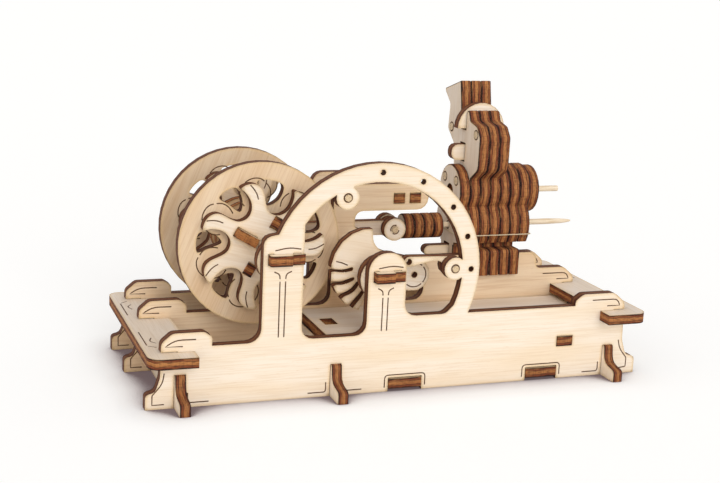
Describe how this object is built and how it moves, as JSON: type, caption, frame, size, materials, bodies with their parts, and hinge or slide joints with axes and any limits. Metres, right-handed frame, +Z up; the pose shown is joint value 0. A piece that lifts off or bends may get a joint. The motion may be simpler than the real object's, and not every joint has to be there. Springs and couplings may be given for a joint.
{
  "type": "wooden mechanical engine model",
  "caption": "Display model of a piston engine cut from plywood sheets, with twin flywheels, crank, crosshead, cylinder block, arch and rocker on three upright frames.",
  "frame": {"origin": "middle of the footprint, on the table", "axes": "+X along the model towards the cylinder block, -Y is the front with the arch, +Z up"},
  "size_m": [0.1522, 0.0722, 0.0849],
  "materials": {
    "birch": "bare laser-cut plywood",
    "birch_pale": "bare pale plywood",
    "birch_tan": "bare plywood in shade, burnt edges",
    "dowel": "bare round wooden pins",
    "thread": "undyed thread"
  },
  "bodies": {
    "frame": {"block_sheet_1": "birch", "block_sheet_2": "birch", "block_sheet_3": "birch", "block_sheet_4": "birch", "block_sheet_5": "birch", "block_sheet_6": "birch", "block_sheet_7": "birch", "block_sheet_8": "birch", "block_thread": "thread", "crank_bearing_key": "birch_pale", "crank_bearing_plate": "birch", "deck_tie": "birch", "front_block_pin": "dowel", "front_deck": "birch_tan", "front_frame": "birch_pale", "front_neck_pin": "dowel", "left_arm_strip": "birch_tan", "left_cap": "birch", "left_cross_plate": "birch_tan", "left_floor_tie": "birch", "lever_pivot_pin": "dowel", "middle_cross_plate": "birch_tan", "middle_frame": "birch", "neck_half_disc": "birch_pale", "neck_lobe": "birch_pale", "rear_block_pin": "dowel", "rear_frame": "birch", "rear_neck_pin": "dowel", "right_arm_strip": "birch_tan", "right_cap": "birch", "right_cross_plate": "birch_tan", "right_floor_tie": "birch", "rocker_bearing_key": "birch_pale", "rocker_bearing_plate": "birch", "upper_arch_pin": "dowel"},
    "crankshaft": {"front_crank_shaft": "dowel", "rear_crank_shaft": "dowel", "front_flywheel": "birch", "rear_flywheel": "birch", "front_spider": "birch_pale", "rear_spider": "birch_pale", "hub_key": "birch_tan", "front_crank_web": "birch_tan", "rear_crank_web": "birch_tan"},
    "connecting_rod": {"connecting_rod": "birch", "crank_pin": "dowel"},
    "piston": {"front_wrist_disc": "birch_pale", "rear_wrist_disc": "birch_pale", "wrist_pin": "dowel", "first_crosshead_disc": "birch", "second_crosshead_disc": "birch", "third_crosshead_disc": "birch", "fourth_crosshead_disc": "birch", "piston_rod": "dowel", "piston": "birch"},
    "rocker": {"rocker_shaft": "dowel", "rocker_plate": "birch"},
    "valve_lever": {"valve_lever": "birch_pale"},
    "valve_slide": {"valve_slide": "birch_pale"},
    "upper_valve": {"upper_valve_rod": "dowel"}
  },
  "joints": [
    {"name": "crankshaft_turn", "type": "hinge", "parent": "frame", "child": "crankshaft", "pos_m": [-0.0383, 0, 0.0394], "axis": [0, 1, 0], "continuous": true},
    {"name": "piston_slide", "type": "slide", "parent": "frame", "child": "piston", "axis": [1, 0, 0], "range_m": [-0.013, 0]},
    {"name": "connecting_rod_swing", "type": "hinge", "parent": "piston", "child": "connecting_rod", "pos_m": [0.0086, 0.0121, 0.0394], "axis": [0, 1, 0], "range_deg": [-9.3, 9.3]},
    {"name": "rocker_turn", "type": "hinge", "parent": "frame", "child": "rocker", "pos_m": [-0.0077, 0, 0.0331], "axis": [0, 1, 0], "range_deg": [-45, 25]},
    {"name": "valve_lever_swing", "type": "hinge", "parent": "frame", "child": "valve_lever", "pos_m": [0.0135, 0, 0.03572], "axis": [0, 1, 0], "range_deg": [-3, 6]},
    {"name": "valve_slide_travel", "type": "slide", "parent": "frame", "child": "valve_slide", "axis": [1, 0, 0], "range_m": [-0.003, 0]},
    {"name": "upper_valve_travel", "type": "slide", "parent": "frame", "child": "upper_valve", "axis": [1, 0, 0], "range_m": [-0.002, 0.004]}
  ]
}
